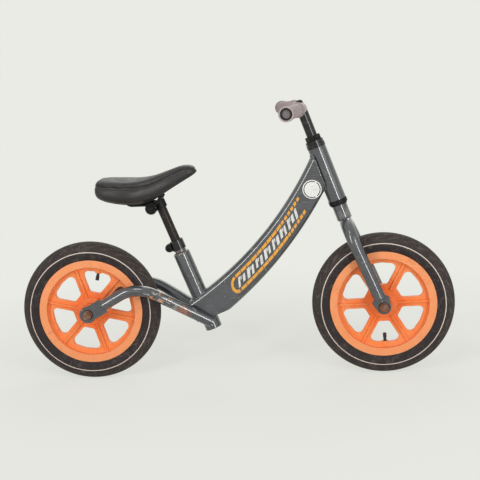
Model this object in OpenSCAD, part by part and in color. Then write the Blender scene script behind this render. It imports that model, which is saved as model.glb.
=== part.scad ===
// Child's balance bike: welded frame, threaded headset, two moulded wheels.
// +X forward, +Y to the rider's left, +Z up, ground at z = 0.

/* [Wheels] */
// Distance between the two axles
wheelbase = 592; // [560:1:720]
// Outer radius of the tyre
tyre_r = 142; // [138:0.5:171]
// Width of the tyre
tyre_w = 44; // [40:0.5:46]
// Thickness of the tyre's casing
tyre_wall = 3.5; // [2.5:0.1:4.5]
// Radius of the bead seat on the rim
bead_seat_r = 101.5; // [98:0.5:103]
// Height of the rim flange above the bead seat
flange_h = 6.6; // [5:0.1:8]
// Overall width of the rim
rim_w = 34; // [32:0.5:37]
// Thickness of the rim flange
flange_t = 2; // [1.5:0.1:2.5]
// Radial depth of the moulded rim ring
rim_ring_h = 17; // [12:0.5:18]
// Thickness of the wheel web
web_t = 10; // [8:0.5:14]
// Number of spokes
spoke_count = 6; // [5:1:7]
// Width of a spoke's raised rib
rib_w = 4; // [3:0.2:6]
// Height of a rib above the web
rib_h = 4.5; // [2:0.25:5]
// Radius of the round hub plate
hub_plate_r = 28; // [24:1:32]
// Width over the wheel hub
hub_w = 66; // [60:1:72]
// Outer radius of the hub barrel
hub_r = 18; // [16:0.5:22]
// Turn of the rear wheel's spokes
rear_turn = 47.3; // [0:0.1:59.9]
// Turn of the front wheel's spokes
front_turn = 1.3; // [0:0.1:59.9]

/* [Hub parts] */
// Axle radius
axle_r = 5; // [4:0.25:5.5]
// Outer radius of a hub bearing
bearing_r = 13; // [11:0.5:14]
// Width of a hub bearing
bearing_w = 8; // [7:0.5:9]
// Length of the spacer outside each bearing
cone_len = 9; // [6:0.5:12]
// Radius of the spacer outside each bearing
cone_r = 8; // [7:0.5:9]
// Thickness of a dropout plate
dropout_t = 4; // [3:0.5:5]
// Thickness of an axle washer
washer_t = 1.5; // [1:0.25:2]
// Height of an axle nut
nut_h = 9; // [8:0.5:11]

/* [Frame] */
// Steering axis lean from the vertical
steer_lean = 19.5; // [17:0.5:22]
// Head tube length
head_len = 111; // [95:1:133]
// Head tube outer radius
head_r = 18; // [17.5:0.25:19]
// Head tube bore radius
head_bore_r = 15; // [15:0.05:15.2]
// Distance of the lower headset face behind the front axle
head_back = 82.5; // [78:0.5:86]
// Height of the lower headset face above the ground
head_z = 345.6; // [340:0.5:400]
// Seat tube lean from the vertical
seat_lean = 20.6; // [18:0.1:23]
// Seat tube foot, forward of the rear axle
seat_foot_x = 249; // [240:1:258]
// Seat tube foot above the ground
seat_foot_z = 99; // [95:1:105]
// Seat tube length up to its shoulder
seat_tube_len = 170; // [150:1:204]
// Seat tube outer radius
seat_tube_r = 16.8; // [15.5:0.1:17.5]
// Radius of the open socket at the foot of the seat tube
foot_socket_r = 14.3; // [13.5:0.1:14.8]
// Depth of that socket
foot_socket_len = 40; // [30:1:45]
// Width of the main tube across the bike
main_w = 38; // [34:0.5:42]
// Corner radius of the main tube
main_corner_r = 11; // [6:0.5:14]
// Wall of the frame tubes
tube_wall = 2; // [1.5:0.25:2.5]
// Radius of the main tube's upper curve
main_top_r = 718; // [716:1:722]
// Radius of the main tube's lower curve
main_low_r = 819; // [816:1:822]
// Rear stay radius
stay_r = 11; // [9:0.5:12]
// Rise of a rear stay from the axle
stay_rise = 29; // [27:0.5:31]
// Fall of a rear stay to the main tube
stay_fall = 30.5; // [29:0.5:32]
// Bend radius of a rear stay
stay_bend_r = 75; // [65:1:85]

/* [Fork] */
// Fork leg radius
leg_r = 12.5; // [11:0.5:13]
// Sideways distance of legs, stays and dropouts from the middle plane
side_y = 44; // [43:0.5:46]
// Distance of the fork's bridge below the headset
bridge_drop = 40; // [38:1:46]
// Steerer tube outer radius
steerer_r = 12.7; // [12.6:0.05:12.8]
// Crown sleeve outer radius
crown_r = 14.8; // [14:0.1:15.5]

/* [Handlebar] */
// Stem tube radius
stem_r = 10.55; // [9.5:0.05:10.6]
// Height of the handlebar above the locknut
bar_rise = 59.5; // [45:0.5:75]
// Length of stem held inside the steerer
stem_hold = 80; // [70:1:90]
// Handlebar tube radius
bar_r = 10; // [9.5:0.1:11.1]
// Half of the straight middle of the handlebar
bar_mid = 42; // [36:1:50]
// Half of the handlebar's whole width
bar_half = 190; // [170:1:228]
// Sweep of the handlebar ends
bar_sweep = 13.5; // [8:0.5:16]
// Upward turn of that sweep
bar_up = -7.5; // [-12:0.5:10]
// How far the handlebar is clamped off square to the wheel
bar_turn = 4.2; // [0:0.1:5]
// How far the handlebar sits off centre in the stem
bar_off = 2.4; // [0:0.1:3]
// Grip length
grip_len = 105; // [90:1:112]
// Grip outer radius
grip_r = 14.5; // [13:0.25:16]

/* [Saddle] */
// Seat post radius
post_r = 9.5; // [8.5:0.05:10]
// Seat post top above the seat tube's shoulder
post_show = 113; // [95:1:125]
// Length of seat post held in the frame
post_hold = 100; // [85:1:120]
// Seat collar height
collar_h = 20; // [16:0.5:20]
// Seat collar wall
collar_wall = 2.4; // [2:0.1:3]
// Distance of the saddle clamp bolt behind the post's axis
clamp_back = 15.9; // [13.8:0.1:19]
// Radius of a serrated clamp disc
disc_r = 12; // [11:0.25:13]
// Half width of the saddle at the back
saddle_half = 62; // [52:1:74]
// Half width of the saddle's nose
nose_half = 18; // [15:0.5:22]
// Saddle length
saddle_len = 199; // [185:1:240]
// Radius of the saddle rails
rail_r = 3.5; // [3:0.25:4]

/* [Fits] */
// Radial gap of a part that turns or slides in a bore
running_gap = 0.05; // [0.02:0.01:0.08]
// Gap between loose neighbours
free_gap = 0.3; // [0.2:0.05:0.4]

/* [Hidden] */
$fn = 64;

paint = [0.25, 0.28, 0.31];
orange = [1, 0.45, 0.15];
black = [0.08, 0.07, 0.07];
steel = [0.6, 0.6, 0.6];
pale = [0.75, 0.7, 0.7];

// Turn, in degrees, that a bend stays short of its straight neighbours
hair = 0.01;

rear_x = -wheelbase / 2;
front_x = wheelbase / 2;
axle_z = tyre_r;
side = [1, -1];

// Stations along the axle, measured from the middle plane
bearing_out = hub_w / 2;
plate_in = bearing_out + cone_len;
plate_out = plate_in + dropout_t;
washer_out = plate_out + washer_t;
nut_out = washer_out + nut_h;
axle_half = nut_out + 2;
plate_mid = (plate_in + plate_out) / 2;

// Headset stations, measured up the steering axis from the lower headset face
cup_lip = 8;
cup_insert = 8;
cup_r = head_r + 0.7;
cup_bore_r = steerer_r + 1.3;
race_r = cup_r - 2;
ball_r = 2;
// Ball centres, inward of a cup's open face
ball_z = 2.8;
ball_ring_r = (steerer_r + cup_r) / 2 - 0.7;
ball_count = 18;
head_top = cup_lip + head_len;
cone_z = head_top + cup_lip - 0.6;
cone_h = 7;
key_washer_t = 1.5;
locknut_z = cone_z + cone_h + key_washer_t;
locknut_h = 8;
locknut_top = locknut_z + locknut_h;
bar_z = locknut_top + bar_rise;
stem_foot = locknut_top - stem_hold;
steerer_bore_r = stem_r + running_gap;
wedge_h = 26;
bolt_r = 4;
head_x = front_x - head_back;

// Fork legs: the bridge crosses the steering axis bridge_drop below the headset
bridge_x = head_x + bridge_drop * sin(steer_lean);
bridge_z = head_z - bridge_drop * cos(steer_lean);
leg_lean = atan2(front_x - bridge_x, bridge_z - axle_z);
leg_len = norm([front_x - bridge_x, bridge_z - axle_z]);
leg_foot = 20;

// Seat stations, measured up the seat tube's axis from its foot
seat_x = rear_x + seat_foot_x;
neck_gap = 5;
shoulder_r = 5;
neck_r = post_r + running_gap + 2;
collar_z = seat_tube_len + neck_gap;
neck_top = collar_z + collar_h - 3;
post_top = seat_tube_len + post_show;
post_foot = seat_tube_len - post_hold;
ear_back = neck_r + collar_wall + 4;
ear_r = 8.5;
ear_t = 4;
slot_w = 3;
clamp_z = post_top - 9;
clamp_x = seat_x - clamp_z * sin(seat_lean) - clamp_back * cos(seat_lean);
clamp_h = seat_foot_z + clamp_z * cos(seat_lean) - clamp_back * sin(seat_lean);

// Main tube: two curves with centres up and behind
top_centre = [head_x - 694.5, head_z + 415];
low_centre = [head_x - 740.5, head_z + 429];

module on_steer(s = 0)
    translate([head_x, 0, head_z]) rotate([0, -steer_lean, 0]) translate([0, 0, s]) children();

module on_seat(t = 0)
    translate([seat_x, 0, seat_foot_z]) rotate([0, -seat_lean, 0]) translate([0, 0, t]) children();

module on_axle(x) translate([x, 0, axle_z]) rotate([90, 0, 0]) children();

module both_ends() for (m = [0, 1]) mirror([0, 0, m]) children();

module pipe(h, r_out, r_in) difference() {
    cylinder(h = h, r = r_out);
    translate([0, 0, -1]) cylinder(h = h + 2, r = r_in);
}

// One bend of a tube, from its start at the origin; hair is what it stays short by at both ends
module elbow(bend_r, angle, r_out, r_in, hair = 0)
    translate([bend_r, 0, 0]) mirror([1, 0, 0]) rotate([90, 0, 0]) rotate([0, 0, hair])
        rotate_extrude(angle = angle - 2 * hair) translate([bend_r, 0]) difference() {
            circle(r = r_out);
            if (r_in > 0) circle(r = r_in);
        }

// ---- frame ----

// One half of the main tube's section, rounded on the side that faces outward or inward
module section(r_edge, reach, inset, outward) {
    half = main_w / 2 - inset;
    r = max(main_corner_r - inset, 1);
    x0 = outward ? r_edge + inset : r_edge - inset;
    sgn = outward ? 1 : -1;
    for (s = side) translate([x0 + sgn * r, s * (half - r)]) circle(r = r);
    x1 = x0 + sgn * r;
    x2 = x0 + sgn * reach;
    translate([min(x1, x2), -half]) square([abs(x2 - x1), 2 * half]);
    translate([min(x0, x1), -(half - r)]) square([abs(x1 - x0), 2 * (half - r)]);
}

module curve_solid(centre, r_edge, outward, inset)
    translate([centre[0], 0, centre[1]]) rotate([90, 0, 0]) rotate([0, 0, -65])
        rotate_extrude(angle = 52, $fn = 180) section(r_edge, 110, inset, outward);

module main_solid(inset) intersection() {
    curve_solid(top_centre, main_top_r, true, inset);
    curve_solid(low_centre, main_low_r, false, inset);
}

module head_cutter(r) on_steer(-60) cylinder(h = head_len + 150, r = r);

// How far behind the steering axis the main tube's sides end against the head tube
head_flat = 12;
// Keeps what lies behind that plane
module frame_span() {
    on_steer(-120) translate([-520 - head_flat, -60, 0]) cube([520, 120, 320]);
}

module main_tube() color(paint) difference() {
    intersection() {
        difference() {
            main_solid(0);
            difference() {
                main_solid(tube_wall);
                on_steer(-120) translate([-head_flat - tube_wall, -60, 0]) cube([100, 120, 320]);
            }
        }
        frame_span();
        on_seat(-60) translate([-(seat_tube_r + 7), -60, 0]) cube([420, 120, 420]);
    }
    head_cutter(head_r);
    on_seat(-60) cylinder(h = 300, r = seat_tube_r);
}

module head_tube() color(paint) on_steer(cup_lip) pipe(head_len, head_r, head_bore_r);

module seat_tube() color(paint) on_seat() difference() {
    union() {
        cylinder(h = seat_tube_len - shoulder_r, r = seat_tube_r);
        translate([0, 0, seat_tube_len - shoulder_r])
            rotate_extrude() {
                square([seat_tube_r - shoulder_r, shoulder_r]);
                translate([seat_tube_r - shoulder_r, 0]) intersection() {
                    circle(r = shoulder_r);
                    square(shoulder_r);
                }
            }
        cylinder(h = neck_top, r = neck_r);
    }
    translate([0, 0, -1]) cylinder(h = foot_socket_len + 1, r = foot_socket_r);
    translate([0, 0, -1]) cylinder(h = seat_tube_len - 19, r = foot_socket_r - 1.5);
    translate([0, 0, -1]) cylinder(h = neck_top + 2, r = post_r + running_gap);
    // cross hole near the foot, and the slot that lets the collar close the neck
    translate([0, 0, 9]) rotate([90, 0, 0]) cylinder(h = 60, r = 2.5, center = true);
    translate([-neck_r - 3, -slot_w / 2, collar_z]) cube([neck_r + 1, slot_w, collar_h]);
}

stay_corner_x = rear_x + 104.2;
stay_corner_l = 104.2 / cos(stay_rise);
stay_turn = stay_rise + stay_fall;
stay_tangent = stay_bend_r * tan(stay_turn / 2);
stay_foot = 38;
plug_h = 7;
stay_in = 10.5;

module stay(s) mirror([0, s > 0 ? 0 : 1, 0]) difference() {
    translate([rear_x, side_y, axle_z]) rotate([0, 90 - stay_rise, 0]) {
        translate([0, 0, stay_foot]) cylinder(h = plug_h, r = stay_r);
        translate([0, 0, stay_foot + plug_h])
            pipe(stay_corner_l - stay_tangent - stay_foot - plug_h, stay_r, stay_r - tube_wall);
        translate([0, 0, stay_corner_l - stay_tangent]) {
            elbow(stay_bend_r, stay_turn, stay_r, stay_r - tube_wall, hair);
            translate([stay_bend_r, 0, 0]) rotate([0, stay_turn, 0]) translate([-stay_bend_r, 0, 0])
                rotate([0, 0, -90]) {
                    elbow(stay_bend_r, stay_in, stay_r, stay_r - tube_wall, hair);
                    translate([stay_bend_r, 0, 0]) rotate([0, stay_in, 0])
                        translate([-stay_bend_r, 0, 0])
                            pipe(112, stay_r, stay_r - tube_wall);
                }
        }
    }
    translate([rear_x, -60, -10]) cube([wheelbase, 60 + main_w / 2, 260]);
}

module left_stay() color(paint) stay(1);
module right_stay() color(paint) stay(-1);

module rear_dropouts() color(paint) for (s = side)
    translate([rear_x, s * plate_mid, axle_z]) rotate([90, 0, 0]) rotate([0, 0, stay_rise])
        difference() {
            union() {
                cylinder(h = dropout_t, r = 17, center = true);
                translate([stay_foot / 2, 0, 0]) cube([stay_foot, 30, dropout_t], center = true);
            }
            cylinder(h = dropout_t + 2, r = axle_r, center = true);
        }

module cup() difference() {
    union() {
        cylinder(h = cup_lip, r = cup_r);
        cylinder(h = cup_lip + cup_insert, r = head_bore_r);
    }
    translate([0, 0, -1]) cylinder(h = cup_lip + cup_insert + 2, r = cup_bore_r);
    translate([0, 0, -1]) cylinder(h = 6, r = ball_ring_r + ball_r + 0.2);
}

module lower_cup() color(black) on_steer() cup();
module upper_cup() color(black) on_steer(head_top + cup_lip) mirror([0, 0, 1]) cup();

module ear_plates(r, extra) for (s = side)
    translate([-ear_back, s * (slot_w + ear_t) / 2, collar_h / 2]) rotate([90, 0, 0])
        cylinder(h = ear_t + extra, r = r, center = true);

module seat_collar() color(black) on_seat(collar_z) difference() {
    union() {
        cylinder(h = collar_h, r = neck_r + collar_wall);
        ear_plates(ear_r, 0);
        for (s = side) translate([-ear_back, s * (slot_w + ear_t) / 2 - ear_t / 2, collar_h / 2 - ear_r])
            cube([ear_back, ear_t, 2 * ear_r]);
    }
    translate([0, 0, -1]) cylinder(h = collar_h + 2, r = neck_r);
    translate([-40, -slot_w / 2, -1]) cube([40, slot_w, collar_h + 2]);
    translate([-ear_back, 0, collar_h / 2]) rotate([90, 0, 0]) cylinder(h = 40, r = 3, center = true);
}

ear_out = slot_w / 2 + ear_t;
module collar_bolt() color(black) on_seat(collar_z + collar_h / 2) translate([-ear_back, 0, 0])
    rotate([90, 0, 0]) {
        translate([0, 0, -ear_out - 6]) cylinder(h = 2 * ear_out + 6, r = 3);
        translate([0, 0, ear_out]) difference() {
            intersection() {
                cylinder(h = 5, r = 5.5);
                translate([0, 0, -3]) sphere(r = 8);
            }
            translate([0, 0, 2.5]) cylinder(h = 5, r = 2.6, $fn = 6);
        }
    }
module collar_nut() color(black) on_seat(collar_z + collar_h / 2) translate([-ear_back, ear_out + 0.02, 0])
    rotate([-90, 0, 0]) difference() {
        rotate([0, 0, 30]) cylinder(h = 5, r = 5.8, $fn = 6);
        translate([0, 0, -1]) cylinder(h = 7, r = 3);
    }

// ---- axle sets ----

module axle_rod(x) color(steel) on_axle(x) cylinder(h = 2 * axle_half, r = axle_r, center = true);
module axle_cones(x) color(steel) on_axle(x) both_ends()
    translate([0, 0, bearing_out]) pipe(cone_len, cone_r, axle_r);
module axle_washers(x) color(black) on_axle(x) both_ends()
    translate([0, 0, plate_out]) pipe(washer_t, 10.5, axle_r);
module axle_nuts(x) color(steel) on_axle(x) both_ends() translate([0, 0, washer_out])
    difference() {
        union() {
            cylinder(h = nut_h, r = 8.6, $fn = 6);
            cylinder(h = 2, r = 9.5);
        }
        translate([0, 0, -1]) cylinder(h = nut_h + 2, r = axle_r);
    }

module rear_axle() axle_rod(rear_x);
module rear_cones() axle_cones(rear_x);
module rear_washers() axle_washers(rear_x);
module rear_nuts() axle_nuts(rear_x);
module front_axle() axle_rod(front_x);
module front_cones() axle_cones(front_x);
module front_washers() axle_washers(front_x);
module front_nuts() axle_nuts(front_x);

// ---- fork ----

module steerer() color(steel) on_steer(-bridge_drop + leg_r + 0.5)
    pipe(bridge_drop - leg_r - 0.5 + locknut_top - 1, steerer_r, steerer_bore_r);

module leg_line() translate([front_x, 0, axle_z]) rotate([0, -leg_lean, 0]) children();

module leg_solid(r_in) leg_line() translate([0, side_y, leg_foot]) {
    pipe_len = leg_len - side_y - leg_foot;
    if (r_in > 0) pipe(pipe_len, leg_r, r_in);
    else cylinder(h = pipe_len, r = leg_r);
    translate([0, 0, pipe_len]) rotate([0, 0, -90]) elbow(side_y, 90, leg_r, r_in);
}

module left_leg() color(paint) leg_solid(leg_r - tube_wall);
module right_leg() color(paint) mirror([0, 1, 0]) leg_solid(leg_r - tube_wall);

module crown_sleeve() color(paint) difference() {
    on_steer(-bridge_drop) pipe(bridge_drop - 3, crown_r, steerer_r);
    leg_solid(0);
    mirror([0, 1, 0]) leg_solid(0);
    on_steer(-bridge_drop - 20) cylinder(h = 20 + leg_r - 6, r = 30);
}

module fork_dropouts() color(paint) for (s = side)
    translate([front_x, s * plate_mid, axle_z]) rotate([90, 0, 0]) rotate([0, 0, leg_lean])
        difference() {
            linear_extrude(dropout_t, center = true) hull() {
                circle(r = 14, $fn = 48);
                for (k = side) translate([k * 13.5, leg_foot - 4.5]) circle(r = 4.5, $fn = 24);
            }
            cylinder(h = dropout_t + 2, r = axle_r, center = true);
        }

module crown_race() color(black) on_steer(-3) pipe(3.4, race_r, steerer_r);
module ball_ring() {
    for (i = [0:ball_count - 1]) rotate([0, 0, i * 360 / ball_count])
        translate([ball_ring_r, 0, 0]) sphere(r = ball_r);
}
module lower_balls() color(steel) on_steer(ball_z) ball_ring();
module upper_balls() color(steel) on_steer(head_top + cup_lip - ball_z) ball_ring();
module upper_cone() color(black) on_steer(cone_z) difference() {
    union() {
        cylinder(h = cone_h, r = ball_ring_r + 1.6);
        translate([0, 0, 1.6]) cylinder(h = cone_h - 1.6, r = ball_ring_r + 2.8);
    }
    translate([0, 0, -1]) cylinder(h = cone_h + 2, r = steerer_r);
}
module lock_washer() color(steel) on_steer(cone_z + cone_h) pipe(key_washer_t, steerer_r + 2.6, steerer_r);
module locknut() color(black) on_steer(locknut_z) difference() {
    cylinder(h = locknut_h, r = steerer_r + 2.4, $fn = 6);
    translate([0, 0, -1]) cylinder(h = locknut_h + 2, r = steerer_r);
}

// ---- stem and handlebar ----

wedge_slope = 32;
module slant(z, keep_low) translate([0, 0, z]) rotate([0, wedge_slope, 0])
    translate([-50, -50, keep_low ? 0 : -100]) cube([100, 100, 100]);

module bar_cross(r) translate([0, 0, bar_z]) rotate([0, 0, bar_turn]) rotate([90, 0, 0])
    cylinder(h = 60, r = r, center = true);

module stem() color(black) on_steer() difference() {
    translate([0, 0, stem_foot]) pipe(bar_z - stem_foot, stem_r, stem_r - 2.5);
    slant(stem_foot + 8, false);
    bar_cross(bar_r);
}

module expander_wedge() color(steel) on_steer() difference() {
    translate([0, 0, stem_foot - wedge_h + 8]) cylinder(h = wedge_h + 8, r = stem_r);
    slant(stem_foot + 8 - free_gap, true);
    translate([0, 0, stem_foot - wedge_h]) cylinder(h = 2 * wedge_h + 20, r = bolt_r);
}

bolt_head_h = 3;
module expander_bolt() color(steel) on_steer() {
    translate([0, 0, stem_foot - wedge_h]) cylinder(h = bar_z + bar_r + 1 - stem_foot + wedge_h, r = bolt_r);
    difference() {
        translate([0, 0, bar_z]) cylinder(h = bar_r + bolt_head_h, r = 5.5);
        bar_cross(bar_r);
        translate([0, 0, bar_z + bar_r + 1]) cylinder(h = bolt_head_h, r = 3, $fn = 6);
    }
}

module stem_cap() color(black) on_steer() difference() {
    intersection() {
        translate([0, 0, bar_z]) cylinder(h = bar_r + 7, r = 7.6);
        translate([0, 0, bar_z + bar_r - 4.6]) sphere(r = 10.4);
    }
    bar_cross(bar_r);
    translate([0, 0, bar_z]) cylinder(h = bar_r + bolt_head_h + 0.2, r = 5.5 + free_gap);
}

bar_bend_r = 70;
bar_end_len = bar_half - bar_mid - bar_bend_r * sin(bar_sweep);

// The handlebar's own frame: origin at its middle, +Y along it, +X forward, +Z up
module on_bar() on_steer(bar_z) rotate([0, 0, bar_turn]) translate([0, bar_off, 0])
    rotate([0, steer_lean, 0]) children();

// Local frame of one handlebar half: +Z runs out along the bar, +X is the way it sweeps
module bar_half_frame(s) on_bar() mirror([0, s > 0 ? 0 : 1, 0])
    rotate([0, 180 + bar_up, 0]) rotate([-90, 0, 0]) children();

module bar_end_frame(s) bar_half_frame(s) translate([bar_bend_r, 0, bar_mid])
    rotate([0, bar_sweep, 0]) translate([-bar_bend_r, 0, 0]) children();

bar_tip = bar_end_len / cos(bar_sweep);

module handlebar() color(pale) {
    difference() {
        on_bar() rotate([90, 0, 0]) translate([0, 0, -bar_mid])
            pipe(2 * bar_mid, bar_r, bar_r - tube_wall);
        on_steer(bar_z - 30) cylinder(h = 60, r = bolt_r + free_gap);
    }
    for (s = side) {
        bar_half_frame(s) translate([0, 0, bar_mid])
            elbow(bar_bend_r, bar_sweep, bar_r, bar_r - tube_wall, hair);
        bar_end_frame(s) pipe(bar_tip, bar_r, bar_r - tube_wall);
    }
}

grip_cap = 3;
module grip(s) color(pale) bar_end_frame(s) difference() {
    translate([0, 0, bar_tip - grip_len + grip_cap]) union() {
        cylinder(h = grip_len, r = bar_r + 2.6);
        cylinder(h = 7, r = grip_r);
        translate([0, 0, grip_len - 9]) cylinder(h = 9, r = grip_r);
    }
    translate([0, 0, bar_tip - grip_len]) cylinder(h = grip_len * 2, r = bar_r);
}
module left_grip() grip(1);
module right_grip() grip(-1);

module bar_plugs() color(black) for (s = side) bar_end_frame(s) translate([0, 0, bar_tip])
    difference() {
        union() {
            cylinder(h = grip_cap - 0.5, r = bar_r);
            translate([0, 0, -12]) cylinder(h = 13, r = bar_r - tube_wall);
        }
        translate([0, 0, 1]) cylinder(h = 5, r = bar_r - 2.6);
    }

// ---- seat post and saddle ----

brace_w = 9;
brace_t = 5.5;
brace_foot = post_top - 16;

module seat_post() color(black) on_seat(post_foot) difference() {
    pipe(post_top - post_foot, post_r, post_r - 2);
    translate([post_r - brace_t, -20, brace_foot - post_foot]) cube([10, 40, 200]);
}

// The tongue that the front of the post runs up into, cut off under the saddle's pan
module post_brace() color(black) difference() {
    on_seat() translate([post_r - brace_t, -brace_w / 2, brace_foot]) cube([brace_t, brace_w, 70]);
    pan_frame(pan_lift - free_gap) translate([-100, -50, 0]) cube([200, 100, 60]);
}

band_h = 16;
cheek_t = 4;
module clamp_band() color(black) on_seat(clamp_z) difference() {
    union() {
        translate([0, 0, -band_h / 2]) cylinder(h = band_h, r = post_r + 3);
        for (s = side) translate([-clamp_back, s * 8, 0]) rotate([90, 0, 0])
            cylinder(h = cheek_t, r = band_h / 2, center = true);
        for (s = side) translate([-clamp_back, s * 8 - cheek_t / 2, -band_h / 2])
            cube([clamp_back, cheek_t, band_h]);
    }
    translate([0, 0, -20]) cylinder(h = 40, r = post_r);
    translate([post_r - brace_t, -brace_w / 2 - 0.5, -20]) cube([20, brace_w + 1, 40]);
    translate([-clamp_back, 0, 0]) rotate([90, 0, 0]) cylinder(h = 60, r = clamp_bolt_r, center = true);
}

rail_y = 18.5;
clamp_bolt_r = 4;
disc_in = 13;
disc_t = rail_y + 6 - disc_in;
module at_clamp() translate([clamp_x, 0, clamp_h]) rotate([90, 0, 0]) children();

module clamp_bolt() color(steel) at_clamp() cylinder(h = 2 * (disc_in + disc_t + 7), r = clamp_bolt_r, center = true);
module clamp_nuts() color(steel) at_clamp() both_ends() translate([0, 0, disc_in + disc_t]) difference() {
    cylinder(h = 6, r = 7.2, $fn = 6);
    translate([0, 0, -1]) cylinder(h = 8, r = clamp_bolt_r);
}
disc_teeth = 24;
module clamp_discs() color(black) difference() {
    at_clamp() both_ends() translate([0, 0, disc_in]) difference() {
        union() {
            cylinder(h = disc_t - 3, r = disc_r - 1);
            translate([0, 0, disc_t - 4]) cylinder(h = 4, r = disc_r);
        }
        translate([0, 0, -1]) cylinder(h = disc_t + 2, r = clamp_bolt_r + running_gap);
        for (i = [0:disc_teeth - 1]) rotate([0, 0, i * 360 / disc_teeth])
            translate([disc_r, 0, -1]) cylinder(h = disc_t + 2, r = 0.7, $fn = 13);
    }
    for (s = side) {
        translate([clamp_x - 30, s * rail_y, clamp_h + rail_low]) rotate([0, 90, 0])
            cylinder(h = 60, r = rail_r);
        translate([clamp_x - 30, s * rail_y - rail_r, clamp_h + rail_low]) cube([60, 2 * rail_r, 30]);
    }
}

// Saddle: a smooth skin through a few hand-set stations.
// Each is [place along the length 0..1, bottom, top, half width], heights above the clamp bolt.
saddle_back = clamp_x - 108;
saddle_tip = saddle_back + saddle_len;
mid_half = (saddle_half + nose_half) / 2;
stations = [
    [0.00, 30.5, 56.5, saddle_half * 0.62],
    [0.03, 22.5, 60.5, saddle_half * 0.80],
    [0.12, 12.5, 62, saddle_half * 0.96],
    [0.27, 6.5, 61, saddle_half],
    [0.42, 4.5, 60.5, saddle_half * 0.88],
    [0.57, 11.5, 64.5, mid_half],
    [0.72, 29.5, 74, nose_half * 1.5],
    [0.86, 46.5, 82.5, nose_half * 1.15],
    [0.95, 58.5, 82, nose_half * 0.95],
    [1.00, 66.5, 75.5, nose_half * 0.55]];

function catmull(a, b, c, d, t) = 0.5 * ((2 * b) + (c - a) * t + (2 * a - 5 * b + 4 * c - d) * t * t
    + (3 * b - a - 3 * c + d) * t * t * t);
last_station = len(stations) - 1;
function station(u) = let (k = min(floor(u * last_station), last_station - 1), t = u * last_station - k)
    catmull(stations[max(k - 1, 0)], stations[k], stations[k + 1], stations[min(k + 2, last_station)], t);

skin_steps = 36;
skin_sides = 32;
// Ring point: flat below, full above, from a rounded super-ellipse
function bulge(c) = sign(c) * pow(abs(c), 0.72);
function skin_ring(u, shrink) = let (q = station(u), mid = (q[1] + q[2]) / 2, h = (q[2] - q[1]) / 2 - shrink,
    w = q[3] - shrink)
    [for (j = [0:skin_sides - 1]) let (a = j * 360 / skin_sides)
        [saddle_back + shrink + q[0] * (saddle_len - 2 * shrink), w * bulge(cos(a)),
            clamp_h + mid + h * bulge(sin(a))]];

module skin(shrink) {
    rings = [for (i = [0:skin_steps]) skin_ring(i / skin_steps, shrink)];
    pts = [for (r = rings) for (p = r) p];
    n = skin_sides;
    quads = [for (i = [0:skin_steps - 1]) for (j = [0:n - 1]) let (k = (j + 1) % n)
        for (f = [[i * n + j, i * n + k, (i + 1) * n + k], [i * n + j, (i + 1) * n + k, (i + 1) * n + j]]) f];
    polyhedron(pts, concat([[for (j = [n - 1:-1:0]) j]], quads,
        [[for (j = [0:n - 1]) skin_steps * n + j]]));
}

// Hollow under the saddle: a box that follows the lower face
pan_lift = 5.4;
pan_t = 3;
pan_from = saddle_back + 24;
pan_to = saddle_back + 0.66 * saddle_len;
pan_slope = 3;
pan_half = saddle_half * 0.58;
nose_pan_half = nose_half * 1.15;

module pan_frame(lift) translate([clamp_x, 0, clamp_h + 20 + lift]) rotate([0, -pan_slope, 0]) children();
module pan_outline(grow) polygon([
    [pan_from - clamp_x - grow, -pan_half - grow], [-30, -pan_half - grow],
    [pan_to - clamp_x + grow, -nose_pan_half - grow], [pan_to - clamp_x + grow, nose_pan_half + grow],
    [-30, pan_half + grow], [pan_from - clamp_x - grow, pan_half + grow]]);

module saddle_pan() color(black) pan_frame(pan_lift) linear_extrude(pan_t) pan_outline(0);

module saddle_cover() color(black) difference() {
    skin(0);
    pan_frame(pan_lift) translate([0, 0, -60]) linear_extrude(60 + pan_t) pan_outline(free_gap);
}

rail_bend_r = 14;
rail_rise = 62;
rail_low = clamp_bolt_r + rail_r + free_gap;
rail_back = 38;
rail_front = 3;
// Height of the hollow's roof above the rails' straight run, at a place along the bike
function roof(dx) = 20 + pan_lift * cos(pan_slope) + (dx + pan_lift * sin(pan_slope)) * tan(pan_slope) - rail_low;
// Length of a rail's rising end: its upper corner just reaches the pan
function rail_end(dx, dir) = let (
    x0 = dx + dir * rail_bend_r * sin(rail_rise), z0 = rail_bend_r * (1 - cos(rail_rise)),
    slope = dir * tan(pan_slope))
    (roof(dx) + dir * (x0 - dx) * slope - z0 - rail_r * cos(rail_rise) - rail_r * sin(rail_rise) * abs(slope) - 0.1)
        / (sin(rail_rise) - cos(rail_rise) * slope);
module rail_half(run, len) {
    cylinder(h = run, r = rail_r);
    translate([0, 0, run]) elbow(rail_bend_r, rail_rise, rail_r, 0, hair);
    translate([rail_bend_r, 0, run]) rotate([0, rail_rise, 0]) translate([-rail_bend_r, 0, 0])
        cylinder(h = len, r = rail_r);
}
module saddle_rails() color(steel) for (s = side) translate([clamp_x, s * rail_y, clamp_h + rail_low]) {
    rotate([0, 90, 0]) mirror([1, 0, 0]) rail_half(rail_front, rail_end(rail_front, 1));
    rotate([0, -90, 0]) rail_half(rail_back, rail_end(-rail_back, -1));
}

// ---- wheels ----

flange_r = bead_seat_r + flange_h;
ring_in_r = flange_r - rim_ring_h;
well_r = bead_seat_r - 4;
window_out_r = ring_in_r - 9;
window_in_r = hub_plate_r + 6;
window_half = 180 / spoke_count;
spoke_half = 9.5;
bed_t = 3;
carcass_r = tyre_r - tyre_w / 2;
// Where the hollow of the casing narrows to the beads, and its half width there
shoulder_ring_r = carcass_r - 5;
void_half = sqrt(pow(tyre_w / 2 - tyre_wall, 2) - 25);
bead_in = rim_w / 2 - flange_t - 4.5;
boss_r = 7;

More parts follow.
